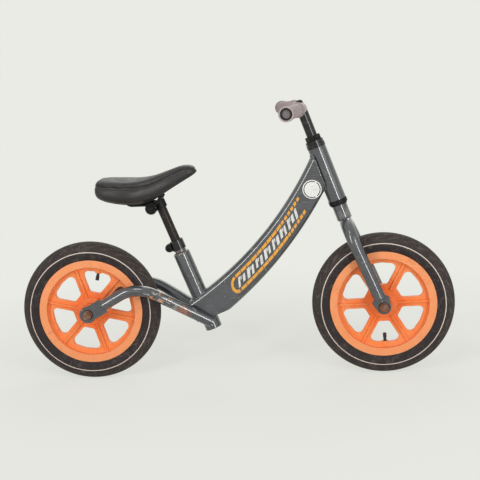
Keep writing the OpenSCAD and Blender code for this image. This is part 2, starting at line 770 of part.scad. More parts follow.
module rim_section() difference() {
    translate([ring_in_r, -rim_w / 2]) square([rim_ring_h, rim_w]);
    translate([bead_seat_r, -rim_w / 2 + flange_t]) square([flange_h + 1, rim_w - 2 * flange_t]);
    translate([well_r, -rim_w / 2 + flange_t + 6]) square([rim_ring_h, rim_w - 2 * flange_t - 12]);
}

corner_out = 10;
corner_in = 5.5;
// Centre of a window corner circle that touches the spoke's edge
function corner(rad, r, k) = let (y = spoke_half + r, x = sqrt(rad * rad - y * y))
    [x * cos(k * window_half) + k * y * sin(k * window_half) * 1,
     -k * y * cos(k * window_half) + x * sin(k * window_half) * 1];
module window() hull() {
    for (k = side) {
        translate(corner(window_out_r - corner_out, corner_out, k)) circle(r = corner_out, $fn = 32);
        translate(corner(window_in_r + corner_in + 4, corner_in, k)) circle(r = corner_in, $fn = 24);
    }
    translate([window_out_r - corner_out, 0]) circle(r = corner_out, $fn = 32);
}

module wheel_rim(x, turn, valve_turn) color(orange) on_axle(x) rotate([0, 0, turn]) difference() {
    union() {
        rotate_extrude() rim_section();
        difference() {
            cylinder(h = web_t, r = ring_in_r, center = true);
            for (i = [0:spoke_count - 1]) rotate([0, 0, (i + 0.5) * 2 * window_half])
                linear_extrude(web_t + 2, center = true) window();
        }
        for (i = [0:spoke_count - 1]) rotate([0, 0, i * 2 * window_half])
            translate([hub_r, -rib_w / 2, -web_t / 2 - rib_h]) cube([ring_in_r - hub_r + 1, rib_w, web_t + 2 * rib_h]);
        cylinder(h = web_t + 2 * rib_h + 1, r = hub_plate_r, center = true);
        cylinder(h = hub_w, r = hub_r, center = true);
        rotate([0, 0, valve_turn]) rotate([0, 90, 0])
            translate([0, 0, window_out_r - 3]) cylinder(h = 8 + 3, r = boss_r);
    }
    cylinder(h = hub_w + 2, r = bearing_r - 2, center = true);
    both_ends() translate([0, 0, hub_w / 2 - bearing_w]) cylinder(h = bearing_w + 1, r = bearing_r);
    rotate([0, 0, valve_turn]) rotate([0, 90, 0]) translate([0, 0, hub_plate_r + 20]) cylinder(h = 80, r = 4.2);
}

module tyre(x) color(black) on_axle(x) rotate_extrude() difference() {
    union() {
        intersection() {
            translate([carcass_r, 0]) circle(r = tyre_w / 2);
            translate([flange_r + 0.9, -tyre_w]) square([tyre_w, 2 * tyre_w]);
        }
        translate([bead_seat_r + free_gap, -(rim_w / 2 - flange_t - free_gap)])
            square([flange_h + 1, 2 * (rim_w / 2 - flange_t - free_gap)]);
    }
    intersection() {
        translate([carcass_r, 0]) circle(r = tyre_w / 2 - tyre_wall);
        translate([shoulder_ring_r, -tyre_w]) square([tyre_w, 2 * tyre_w]);
    }
    polygon([[bead_seat_r - 1, -bead_in], [flange_r + 0.9, -bead_in], [shoulder_ring_r + 0.01, -void_half],
        [shoulder_ring_r + 0.01, void_half], [flange_r + 0.9, bead_in], [bead_seat_r - 1, bead_in]]);
}

bead_top = flange_r + 1.1;
casing_in_r = tyre_r - tyre_wall;
// Largest round tube that rests on the casing's crown and clears the inner corners of the beads
tube_span = casing_in_r - 0.5 - bead_top;
inner_tube_r = (tube_span * tube_span + bead_in * bead_in) / (2 * tube_span) - 0.1;
inner_ring_r = casing_in_r - 0.5 - inner_tube_r;
module inner_tube(x) color(black) on_axle(x) rotate_extrude() translate([inner_ring_r, 0]) difference() {
    circle(r = inner_tube_r);
    circle(r = inner_tube_r - 1.4);
}

valve_len = 42;
module valve(x, angle) color(black) on_axle(x) rotate([0, 0, angle]) rotate([0, 90, 0]) {
    foot = inner_ring_r - inner_tube_r;
    translate([0, 0, foot - 0.3 - valve_len]) {
        difference() {
            union() {
                translate([0, 0, 9]) cylinder(h = valve_len - 9, r = 3);
                translate([0, 0, valve_len - 14]) cylinder(h = 14, r = 3.9);
            }
            translate([0, 0, -1]) cylinder(h = valve_len + 2, r = 1.2);
        }
        cylinder(h = 9, r = 3.6);
    }
}

module bearings(x) color(steel) on_axle(x) both_ends() translate([0, 0, hub_w / 2 - bearing_w]) {
    pipe(bearing_w, bearing_r, bearing_r - 2);
    pipe(bearing_w, axle_r + 2.2, axle_r + running_gap);
    translate([0, 0, 1]) pipe(bearing_w - 2, bearing_r - 2, axle_r + 2.2);
}
module spacer(x) color(steel) on_axle(x) translate([0, 0, -hub_w / 2 + bearing_w])
    pipe(hub_w - 2 * bearing_w, axle_r + 2.2, axle_r + running_gap);

rear_valve_turn = window_half;
front_valve_turn = 270;
module rear_rim() wheel_rim(rear_x, rear_turn, rear_valve_turn);
module front_rim() wheel_rim(front_x, front_turn, front_valve_turn);
module rear_tyre() tyre(rear_x);
module front_tyre() tyre(front_x);
module rear_inner_tube() inner_tube(rear_x);
module front_inner_tube() inner_tube(front_x);
module rear_valve() valve(rear_x, rear_turn + rear_valve_turn);
module front_valve() valve(front_x, front_turn + front_valve_turn);
module rear_bearings() bearings(rear_x);
module front_bearings() bearings(front_x);
module rear_spacer() spacer(rear_x);
module front_spacer() spacer(front_x);

// ---- what is drawn ----
main_tube();
head_tube();
seat_tube();
left_stay();
right_stay();
rear_dropouts();
upper_cup();
lower_cup();
seat_collar();
collar_bolt();
collar_nut();
rear_axle();
rear_cones();
rear_washers();
rear_nuts();
steerer();
crown_sleeve();
left_leg();
right_leg();
fork_dropouts();
crown_race();
lower_balls();
upper_balls();
upper_cone();
lock_washer();
locknut();
front_axle();
front_cones();
front_washers();
front_nuts();
stem();
expander_wedge();
expander_bolt();
stem_cap();
handlebar();
left_grip();
right_grip();
bar_plugs();
seat_post();
post_brace();
clamp_band();
clamp_bolt();
clamp_nuts();
clamp_discs();
saddle_rails();
saddle_pan();
saddle_cover();
front_rim();
front_tyre();
front_inner_tube();
front_valve();
front_bearings();
front_spacer();
rear_rim();
rear_tyre();
rear_inner_tube();
rear_valve();
rear_bearings();
rear_spacer();
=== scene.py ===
"""Visual scene of a child's balance bike.

Metres: +X forward, +Y the rider's left, +Z up, ground at z = 0.
"""

import math

import bpy
import numpy as np
from mathutils import Matrix, Vector


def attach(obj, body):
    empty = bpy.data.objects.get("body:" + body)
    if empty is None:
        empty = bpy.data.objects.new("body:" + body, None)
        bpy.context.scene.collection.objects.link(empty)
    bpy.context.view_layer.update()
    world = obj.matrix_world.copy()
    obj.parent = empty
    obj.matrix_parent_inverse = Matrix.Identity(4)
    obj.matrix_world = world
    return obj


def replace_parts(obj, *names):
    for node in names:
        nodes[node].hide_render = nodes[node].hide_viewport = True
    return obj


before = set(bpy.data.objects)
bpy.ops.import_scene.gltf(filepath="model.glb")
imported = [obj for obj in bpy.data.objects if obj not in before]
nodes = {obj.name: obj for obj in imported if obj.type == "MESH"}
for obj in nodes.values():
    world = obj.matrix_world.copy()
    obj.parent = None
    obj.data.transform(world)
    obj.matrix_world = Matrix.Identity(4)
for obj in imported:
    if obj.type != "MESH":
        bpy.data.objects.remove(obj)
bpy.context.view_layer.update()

# The wheels' axles, the head tube's middle and the seat tube's foot, and the lean of these tubes
AXLE_X, AXLE_Z = 0.296, 0.142
HEAD_LEAN, SEAT_LEAN = math.radians(19.5), math.radians(20.6)
STEER = Vector((0.2135, 0, 0.3456))
STEER_UP = Vector((-math.sin(HEAD_LEAN), 0, math.cos(HEAD_LEAN)))
SEAT_FOOT = Vector((-0.047, 0, 0.099))
SEAT_UP = Vector((-math.sin(SEAT_LEAN), 0, math.cos(SEAT_LEAN)))


# ---------------------------------------------------------------- camera and light


def camera():
    """Camera on the bike's right, turned a little to its rear, looking down and tipped aside."""
    yaw, pitch, roll = (math.radians(a) for a in (-5.24, -9.8, -2.69))
    level = math.cos(pitch)
    ahead = Vector((math.sin(yaw) * level, math.cos(yaw) * level, math.sin(pitch)))
    right = Vector((math.cos(yaw), -math.sin(yaw), 0))
    up = right.cross(ahead)
    tilt, tip = math.cos(roll), math.sin(roll)
    right, up = right * tilt + up * tip, up * tilt - right * tip
    data = bpy.data.cameras.new("camera")
    data.lens, data.sensor_width = 85.0, 36.0
    data.clip_start, data.clip_end = 0.05, 60
    place = Matrix.Translation((0.2188, -2.2311, 0.6644))
    cam = bpy.data.objects.new("camera", data)
    cam.matrix_world = place @ Matrix((right, up, -ahead)).transposed().to_4x4()
    bpy.context.scene.collection.objects.link(cam)
    bpy.context.scene.camera = cam


def light(name, place, aim, size, watts):
    """A soft rectangular lamp at a place, facing a point."""
    data = bpy.data.lights.new(name, "AREA")
    data.shape, data.size, data.size_y = "RECTANGLE", size[0], size[1]
    data.energy = watts
    lamp = bpy.data.objects.new(name, data)
    lamp.location = place
    lamp.rotation_mode = "QUATERNION"
    lamp.rotation_quaternion = (Vector(aim) - Vector(place)).to_track_quat("-Z", "Y")
    bpy.context.scene.collection.objects.link(lamp)


camera()
light("key_lamp", (-0.7, -2.0, 2.7), (0, 0, 0.3), (0.7, 0.7), 12)
light("fill_lamp", (1.9, -1.6, 1.3), (0, 0, 0.3), (1.4, 1.4), 6)
light("right_softbox", (1.5, -2.4, 0.75), (0, 0, 0.35), (0.32, 1.6), 23)
light("left_softbox", (-1.5, -2.4, 0.95), (0, 0, 0.3), (0.32, 1.8), 23)
light("back_lamp", (0.2, 1.9, 1.9), (0, 0, 0.3), (1.6, 1.0), 16)


# ---------------------------------------------------------------- material building


def tone(r, g, b):
    """An sRGB colour given in 0..255 as the linear colour a shader takes."""
    parts = (r / 255, g / 255, b / 255)
    return tuple(c / 12.92 if c <= 0.04045 else ((c + 0.055) / 1.055) ** 2.4 for c in parts) + (1,)


class Finish:
    """A node material built up step by step; its methods return the socket with their result."""

    def __init__(self, name):
        self.material = bpy.data.materials.new(name)
        self.material.use_nodes = True
        self.tree = self.material.node_tree
        self.tree.nodes.clear()
        self.output = self.tree.nodes.new("ShaderNodeOutputMaterial")
        self.object_place = self.tree.nodes.new("ShaderNodeTexCoord").outputs["Object"]

    def node(self, kind, props=None, **inputs):
        """A node of a kind, with its properties and its inputs set to a socket or a constant."""
        made = self.tree.nodes.new("ShaderNode" + kind)
        for key, value in (props or {}).items():
            setattr(made, key, value)
        for key, value in inputs.items():
            numbered = key[0] == "i" and key[1:].isdigit()
            slot = made.inputs[int(key[1:]) if numbered else key.replace("_", " ")]
            if isinstance(value, bpy.types.NodeSocket):
                self.tree.links.new(value, slot)
            else:
                slot.default_value = value
        return made

    def place(self, stretch=(1, 1, 1), turn=(0, 0, 0), shift=(0, 0, 0), at=None):
        """The object's own coordinates, or others, stretched, turned and shifted."""
        at = at or self.object_place
        return self.node(
            "Mapping", Vector=at, Scale=stretch, Rotation=turn, Location=shift
        ).outputs[0]

    def noise(self, scale, detail=4.0, rough=0.55, at=None, warp=0.0):
        """Smooth random cloud in 0..1."""
        return self.node(
            "TexNoise",
            Vector=at or self.object_place,
            Scale=scale,
            Detail=detail,
            Roughness=rough,
            Distortion=warp,
        ).outputs["Fac"]

    def cells(self, scale):
        """Distance from the nearest of many scattered points."""
        return self.node("TexVoronoi", Vector=self.object_place, Scale=scale).outputs["Distance"]

    def math(self, how, *values):
        """One arithmetic step."""
        slots = {"i%d" % k: v for k, v in enumerate(values)}
        return self.node("Math", {"operation": how}, **slots).outputs[0]

    def times(self, first, second):
        """The product of two values."""
        return self.math("MULTIPLY", first, second)

    def plus(self, first, second):
        """The sum of two values."""
        return self.math("ADD", first, second)

    def distance(self, first, second):
        """How far two coordinates, taken together, are from zero."""
        return self.math("SQRT", self.plus(self.times(first, first), self.times(second, second)))

    def band(self, value, low, high, out_low=0.0, out_high=1.0):
        """A value stretched from low..high to out_low..out_high and held there outside."""
        ends = {"i1": low, "i2": high, "i3": out_low, "i4": out_high}
        return self.node("MapRange", {"clamp": True}, i0=value, **ends).outputs[0]

    def mix(self, share, first, second):
        """The first colour going over into the second by a share in 0..1."""
        return self.node("Mix", {"data_type": "RGBA"}, i0=share, i6=first, i7=second).outputs[2]

    def axes(self, at=None):
        """The three coordinates, one by one."""
        return self.node("SeparateXYZ", Vector=at or self.object_place).outputs

    def bump(self, height, depth, strength=0.6, soften=0.0):
        """A surface normal raised by a height, in metres per unit."""
        extra = {}
        if soften:
            extra["Normal"] = self.node("Bevel", {"samples": 4}, Radius=soften).outputs[0]
        return self.node(
            "Bump", Height=height, Distance=depth, Strength=strength, **extra
        ).outputs[0]

    def close(self, colour, roughness, metal, normal, coat=0.0, coat_rough=0.1, **more):
        """Joins everything into one surface and returns the material."""
        more.update(Coat_Weight=coat, Coat_Roughness=coat_rough, Normal=normal)
        surface = self.node(
            "BsdfPrincipled", Base_Color=colour, Roughness=roughness, Metallic=metal, **more
        )
        self.tree.links.new(surface.outputs[0], self.output.inputs["Surface"])
        return self.material


def shade(colour, factor, lift=0.0):
    """A colour made lighter or darker by a factor."""
    return tuple(min(1, c * factor + lift) for c in colour[:3]) + (1,)


def wear(f, base, under, amount, scale, rust):
    """A colour, mottled, chipped down to what is under it and flecked with rust, and its chips."""
    cloud = f.noise(9, 3)
    grain = f.noise(420, 2, 0.7)
    mottled = f.mix(f.band(cloud, 0.35, 0.7), base, shade(base, 0.82))
    mottled = f.mix(f.band(grain, 0.3, 0.7, 0, 0.22), mottled, shade(base, 1.35))
    spots = f.noise(scale, 6, 0.62, warp=0.4)
    patch = f.noise(scale * 0.16, 2)
    chips = f.times(
        f.band(spots, 0.68 - 0.06 * amount, 0.71 - 0.06 * amount), f.band(patch, 0.42, 0.58)
    )
    scratch_noise = f.noise(30, 3, 0.6, at=f.place((1.2, 1.2, 14), (0.5, 0.35, 0.9)))
    scratches = f.times(
        f.band(scratch_noise, 0.6, 0.68, 0, 0.6 * amount), f.band(f.noise(16, 2), 0.38, 0.55)
    )
    marks = f.math("MAXIMUM", chips, scratches)
    specks = f.band(f.noise(scale * 2.6, 4, 0.6), 0.66, 0.72)
    rusty_places = f.band(f.noise(13, 2, at=f.place(shift=(3, 1, 2))), 0.5, 0.64)
    return f.mix(f.times(specks, rusty_places), f.mix(marks, mottled, under), rust), marks


def no_extra(f, colour):
    """Leaves the enamel as it is."""
    return colour


def worn_print(f, colour):
    """Worn white and orange print along the right stay, and a rust patch at its lower end."""
    x, y, _ = f.axes()
    length = f.times(f.band(x, -0.181, -0.176), f.band(x, -0.108, -0.096, 1, 0))
    outer = f.times(f.band(y, -0.036, -0.031, 1, 0), length)
    along = f.place(turn=(0, math.radians(-29), 0))
    streaks = f.noise(1.0, 5, 0.7, at=f.place((55, 60, 260), at=along), warp=0.4)
    colour = f.mix(f.times(outer, f.band(streaks, 0.55, 0.6, 0, 0.85)), colour, tone(214, 208, 202))
    dashes = f.band(f.noise(120, 3, at=f.place(shift=(5, 0, 0))), 0.6, 0.64, 0, 0.8)
    colour = f.mix(f.times(outer, dashes), colour, tone(238, 140, 44))
    patch = f.place(shift=(0.104, 0.048, -0.138))
    spot = f.node("VectorMath", {"operation": "LENGTH"}, i0=patch).outputs[1]
    rust = f.times(f.band(spot, 0.008, 0.022, 1, 0), f.band(f.noise(190, 6, 0.7), 0.42, 0.56))
    return f.mix(rust, colour, tone(172, 88, 42))


def along_axis(f, foot, rise):
    """How far up an axis a place is, in metres from its foot."""
    from_foot = f.place(shift=tuple(-c for c in foot))
    dot = f.node("VectorMath", {"operation": "DOT_PRODUCT"}, i0=from_foot, i1=tuple(rise))
    return dot.outputs[1]


def rubbed_crown(f, colour):
    """Enamel rubbed pale just under the lower headset ring."""
    up = along_axis(f, STEER, STEER_UP)
    near = f.times(f.band(up, -0.052, -0.03), f.band(up, -0.016, -0.01, 1, 0))
    rubbed = f.times(near, f.band(f.noise(75, 4, 0.6), 0.48, 0.6, 0, 0.6))
    return f.mix(rubbed, colour, tone(138, 130, 130))


def bronzed_neck(f, colour):
    """Enamel worn to brownish metal on the neck under the seat collar."""
    up = along_axis(f, SEAT_FOOT, SEAT_UP)
    near = f.times(f.band(up, 0.163, 0.169), f.band(f.noise(110, 4, 0.6), 0.42, 0.58))
    return f.mix(near, colour, tone(122, 98, 74))


def frame_paint(name, amount, extra):
    """Glossy slate-grey enamel, orange-peeled, dusty, chipped to primer and rust-flecked."""
    f = Finish(name)
    colour, marks = wear(f, tone(54, 57, 63), tone(150, 140, 132), amount, 70, tone(150, 78, 40))
    colour = extra(f, colour)
    dust = f.band(f.noise(38, 5, 0.65), 0.4, 0.75, 0, 0.3)
    colour = f.mix(dust, colour, tone(112, 112, 114))
    peel = f.plus(f.times(f.noise(520, 2), 0.25), f.times(marks, -0.8))
    rough = f.plus(f.band(f.noise(24, 4), 0.3, 0.75, 0.24, 0.42), f.times(marks, 0.3))
    normal = f.bump(peel, 0.00012, 0.5, soften=0.0008)
    return f.close(colour, rough, 0.0, normal, 0.8, 0.06, Specular_IOR_Level=0.3, Coat_IOR=1.8)


def dark_metal(name, base, rough_low, rough_high, amount=0.4, coat=0.3, under=tone(140, 128, 118)):
    """Black-finished steel, smudged and worn through at the chips."""
    f = Finish(name)
    colour, marks = wear(f, base, under, amount, 110, tone(110, 66, 44))
    rough = f.plus(
        f.band(f.noise(60, 5, 0.6), 0.3, 0.75, rough_low, rough_high), f.times(marks, 0.2)
    )
    height = f.plus(f.times(f.noise(700, 3), 0.2), f.times(marks, -0.6))
    normal = f.bump(height, 0.0002, 0.5, soften=0.0005)
    return f.close(colour, rough, f.times(marks, 0.6), normal, coat, 0.06, Specular_IOR_Level=0.18)


def bare_steel(name, base, rust_share, rough=0.34):
    """Zinc-plated steel going brown: a metal base with grain and patches of matt rust."""
    f = Finish(name)
    patches = f.band(f.noise(150, 6, 0.7), 0.62 - 0.3 * rust_share, 0.78 - 0.3 * rust_share)
    brown = f.mix(f.noise(420, 3), tone(92, 56, 40), tone(158, 96, 62))
    metal = f.mix(f.band(f.noise(260, 3), 0.3, 0.7), base, shade(base, 0.7))
    colour = f.mix(patches, metal, brown)
    height = f.plus(f.noise(900, 3), f.times(patches, 0.8))
    rough, metallic = f.band(patches, 0, 1, rough, 0.78), f.band(patches, 0, 1, 0.9, 0.1)
    return f.close(colour, rough, metallic, f.bump(height, 0.00015, 0.5, soften=0.0004))


def from_axle(f, axle_x):
    """How far a place is from a wheel's axle, and its three coordinates from the wheel's centre."""
    x, y, z = f.axes(f.place(shift=(-axle_x, 0, -AXLE_Z)))
    return f.distance(x, z), x, y, z


def wheel_plastic(name, axle_x):
    """Orange moulded plastic: chalky on the outer ring, deeper at the hub, grimy and scuffed."""
    f = Finish(name)
    radius = from_axle(f, axle_x)[0]
    deep, plain, chalky = tone(250, 122, 44), tone(252, 143, 72), tone(252, 160, 104)
    colour = f.mix(f.band(radius, 0.03, 0.075), deep, plain)
    outer_ring = f.times(
        f.band(radius, 0.0885, 0.0915), f.band(f.noise(34, 4), 0.25, 0.6, 0.6, 1.0)
    )
    colour = f.mix(outer_ring, colour, chalky)
    cloud = f.noise(26, 4, 0.6)
    colour = f.mix(f.band(cloud, 0.45, 0.75, 0, 0.35), colour, tone(255, 168, 118))
    scratches = f.band(f.noise(130, 5, 0.65, warp=1.2), 0.63, 0.68, 0, 0.6)
    scuffs = f.times(scratches, f.band(f.noise(14, 2), 0.46, 0.6))
    colour = f.mix(scuffs, colour, tone(255, 205, 170))
    dirty_places = f.band(f.noise(9, 2, at=f.place(shift=(2, 2, 2))), 0.45, 0.65)
    grime = f.times(f.band(f.noise(75, 5, 0.7), 0.52, 0.72, 0, 0.45), dirty_places)
    colour = f.mix(grime, colour, tone(176, 78, 40))
    rings = f.math("SINE", f.times(radius, 5200.0))
    grain = f.plus(f.times(f.noise(900, 2), 0.35), f.times(scuffs, -0.6))
    normal = f.bump(f.plus(f.times(rings, 0.05), grain), 0.0002, 0.5, soften=0.001)
    rough = f.band(f.noise(45, 4), 0.3, 0.7, 0.38, 0.56)
    return f.close(colour, rough, 0.0, normal, Subsurface_Weight=0.12, Subsurface_Scale=0.004)


def tyre_rubber(name, axle_x):
    """Dull brown-black rubber, dusty and worn, with a thin cream line round each wall."""
    f = Finish(name)
    radius, x, across, z = from_axle(f, axle_x)
    base = f.mix(f.noise(30, 4), tone(36, 31, 32), tone(50, 44, 44))
    tread = f.mix(f.noise(24, 4), tone(46, 39, 38), tone(70, 61, 57))
    lighter = f.mix(f.band(radius, 0.118, 0.132), base, tread)
    dust = f.times(
        f.band(f.noise(90, 6, 0.7, warp=0.8), 0.5, 0.72, 0, 0.5), f.band(f.noise(11, 2), 0.4, 0.62)
    )
    colour = f.mix(dust, lighter, tone(126, 114, 106))
    wobble = f.plus(radius, f.times(f.noise(40, 2), 0.0004))
    off = f.math("ABSOLUTE", f.math("SUBTRACT", wobble, 0.1233))
    on_wall = f.band(f.math("ABSOLUTE", across), 0.019, 0.020)
    line = f.times(f.band(off, 0.0007, 0.0010, 1, 0), on_wall)
    worn = f.band(f.noise(210, 4, 0.7), 0.6, 0.72, 1, 0.55)
    colour = f.mix(f.times(line, worn), colour, tone(226, 210, 198))
    grooves = f.node("Attribute", {"attribute_name": "mark"}).outputs["Fac"]
    packed = f.times(grooves, f.band(f.noise(170, 4, 0.7), 0.4, 0.6, 0.15, 0.75))
    colour = f.mix(packed, colour, tone(136, 126, 118))
    ribs = f.math("SINE", f.times(f.math("ARCTAN2", z, x), 720.0))
    normal = f.bump(f.plus(f.noise(800, 4, 0.6), f.times(ribs, 0.12)), 0.0003, 0.45)
    rough = f.band(f.noise(60, 4), 0.3, 0.7, 0.62, 0.82)
    return f.close(colour, rough, 0.0, normal, Specular_IOR_Level=0.3)


def plastic(name, base, grain, rough, pale=None, depth=0.0002):
    """Moulded plastic or rubber with a fine grain, hand smudges and rubbed pale patches."""
    f = Finish(name)
    rubbed = f.band(f.noise(45, 5, 0.6), 0.42, 0.7, 0, 0.3)
    colour = f.mix(rubbed, base, pale or shade(base, 1.5, 0.02))
    smudges = f.band(f.noise(230, 5, 0.7, warp=0.6), 0.62, 0.7, 0, 0.5)
    colour = f.mix(smudges, colour, shade(base, 0.55))
    height = f.plus(f.noise(grain, 3, 0.6), f.times(f.cells(grain * 0.8), 0.5))
    normal = f.bump(height, depth, 0.5, soften=0.0004)
    rough = f.band(f.noise(70, 4), 0.3, 0.7, rough - 0.08, rough + 0.12)
    return f.close(colour, rough, 0.0, normal, Specular_IOR_Level=0.3)


def saddle_vinyl():
    """Satin brown-black saddle skin with a pebbled grain and pale rubbed streaks."""
    f = Finish("saddle_vinyl")
    colour = f.mix(f.noise(22, 4), tone(26, 22, 23), tone(42, 36, 36))
    streaks = f.band(f.noise(120, 6, 0.7, warp=0.7), 0.56, 0.68, 0, 0.5)
    rub = f.times(streaks, f.band(f.noise(15, 2), 0.4, 0.6))
    colour = f.mix(rub, colour, tone(120, 108, 104))
    pebbles = f.node(
        "TexVoronoi", {"feature": "DISTANCE_TO_EDGE"}, Vector=f.object_place, Scale=760.0
    )
    height = f.plus(f.times(pebbles.outputs["Distance"], 0.9), f.times(f.noise(260, 4), 0.7))
    rough = f.band(f.noise(40, 4), 0.3, 0.7, 0.36, 0.52)
    return f.close(colour, rough, 0.0, f.bump(height, 0.0002, 0.4), Specular_IOR_Level=0.5)


paint = frame_paint("frame_paint", 0.55, no_extra)
stay_paint = frame_paint("stay_paint", 0.9, worn_print)
neck_paint = frame_paint("neck_paint", 0.6, bronzed_neck)
fork_paint = frame_paint("fork_paint", 0.8, rubbed_crown)
gloss_black = dark_metal("gloss_black", tone(12, 11, 12), 0.16, 0.32, 0.3, coat=0.6)
satin_black = dark_metal("satin_black", tone(22, 20, 20), 0.34, 0.55, 0.6, coat=0.0)
# Seat post: brown-black with heavy brownish worn marks. The pale specks are real wear; the broad
# brownish patches are a painted reflection on the gloss-black tube.
post_wear_and_sheen = dark_metal(
    "post_wear_and_sheen", tone(36, 29, 28), 0.3, 0.5, 1.2, coat=0.1, under=tone(112, 92, 82)
)
rusty_steel = bare_steel("rusty_steel", tone(150, 140, 134), 0.9)
plated_steel = bare_steel("plated_steel", tone(176, 172, 168), 0.35)
bright_steel = bare_steel("bright_steel", tone(206, 206, 208), 0.1, 0.22)
bar_finish = plastic(
    "bar_paint", tone(198, 182, 182), 260.0, 0.42, tone(222, 210, 208), depth=0.00003
)
grip_finish = plastic(
    "grip_rubber", tone(172, 156, 157), 420.0, 0.6, tone(196, 184, 182), depth=0.00006
)
plug_finish = plastic("plug_plastic", tone(116, 106, 108), 700.0, 0.5)
ring_finish = plastic("end_ring_plastic", tone(20, 16, 17), 700.0, 0.5)
pan_finish = plastic("saddle_pan_plastic", tone(18, 16, 16), 500.0, 0.5)
valve_finish = plastic("valve_rubber", tone(50, 42, 42), 900.0, 0.6)
tube_finish = plastic("tube_rubber", tone(40, 38, 38), 500.0, 0.7)
vinyl = saddle_vinyl()

FINISHES = {
    paint: "main_tube head_tube left_stay rear_dropouts",
    stay_paint: "right_stay",
    neck_paint: "seat_tube",
    fork_paint: "steerer crown_sleeve left_leg right_leg fork_dropouts",
    gloss_black: "upper_cup stem seat_collar upper_cone",
    satin_black: "lower_cup crown_race locknut lock_washer stem_cap rear_washers front_washers "
    "collar_bolt collar_nut post_brace clamp_band clamp_discs clamp_nuts saddle_rails clamp_bolt",
    post_wear_and_sheen: "seat_post",
    rusty_steel: "rear_nuts front_nuts rear_axle front_axle",
    plated_steel: "rear_cones front_cones expander_bolt expander_wedge rear_spacer front_spacer",
    bright_steel: "rear_bearings front_bearings lower_balls upper_balls",
    bar_finish: "handlebar",
    grip_finish: "left_grip right_grip",
    plug_finish: "bar_plugs",
    pan_finish: "saddle_pan",
    valve_finish: "rear_valve front_valve",
    tube_finish: "rear_inner_tube front_inner_tube",
    vinyl: "saddle_cover",
    wheel_plastic("rear_wheel_plastic", -AXLE_X): "rear_rim",
    wheel_plastic("front_wheel_plastic", AXLE_X): "front_rim",
    tyre_rubber("rear_tyre_rubber", -AXLE_X): "rear_tyre",
    tyre_rubber("front_tyre_rubber", AXLE_X): "front_tyre",
}
for finish, names in FINISHES.items():
    for name in names.split():
        nodes[name].data.materials.clear()
        nodes[name].data.materials.append(finish)


# ---------------------------------------------------------------- floor and background


def backdrop():
    """A pale floor that keeps the shadow, and an even pale surround behind it."""
    f = Finish("floor_paper")
    pale = tone(233, 235, 228)
    mottle = f.noise(3, 3)
    colour = f.mix(f.band(mottle, 0.3, 0.7), pale, tone(231, 233, 226))
    lit = f.node("BsdfDiffuse", Color=colour, Roughness=0.5).outputs[0]
    even = f.node("Emission", Color=pale, Strength=1.0).outputs[0]
    x, y, _ = f.axes()
    away = f.distance(x, y)
    seen = f.node("LightPath").outputs
    mirrored = f.math("MAXIMUM", seen["Is Glossy Ray"], seen["Is Transmission Ray"])
    direct = f.math("MAXIMUM", seen["Is Camera Ray"], mirrored)
    share = f.times(direct, f.band(away, 0.4, 1.1, 0.72, 1.0))
    surface = f.node("MixShader", i0=share, i1=lit, i2=even).outputs[0]
    f.tree.links.new(surface, f.output.inputs["Surface"])
    mesh = bpy.data.meshes.new("floor")
    mesh.from_pydata([(-6, -6, 0), (6, -6, 0), (6, 9, 0), (-6, 9, 0)], [], [(0, 1, 2, 3)])
    floor = bpy.data.objects.new("floor", mesh)
    mesh.materials.append(f.material)
    bpy.context.scene.collection.objects.link(floor)


def room():
    """Even soft light from all round, seen as a pale surround by the camera and in reflections."""
    world = bpy.data.worlds.new("room")
    world.use_nodes = True
    bpy.context.scene.world = world
    tree = world.node_tree
    tree.nodes.clear()
    path = tree.nodes.new("ShaderNodeLightPath")
    seen = path.outputs["Is Camera Ray"]
    for ray in ("Is Glossy Ray", "Is Transmission Ray"):
        either = tree.nodes.new("ShaderNodeMath")
        either.operation = "MAXIMUM"
        tree.links.new(seen, either.inputs[0])
        tree.links.new(path.outputs[ray], either.inputs[1])
        seen = either.outputs[0]
    choose = tree.nodes.new("ShaderNodeMixShader")
    tree.links.new(seen, choose.inputs[0])
    for slot, colour, strength in ((1, (1, 1, 1, 1), 0.32), (2, tone(233, 235, 228), 1.0)):
        view = tree.nodes.new("ShaderNodeBackground")
        view.inputs["Color"].default_value = colour
        view.inputs["Strength"].default_value = strength
        tree.links.new(view.outputs[0], choose.inputs[slot])
    room_out = tree.nodes.new("ShaderNodeOutputWorld")
    tree.links.new(choose.outputs[0], room_out.inputs["Surface"])


backdrop()
room()
bpy.context.scene.view_settings.view_transform = "Standard"

# ---------------------------------------------------------------- building surfaces


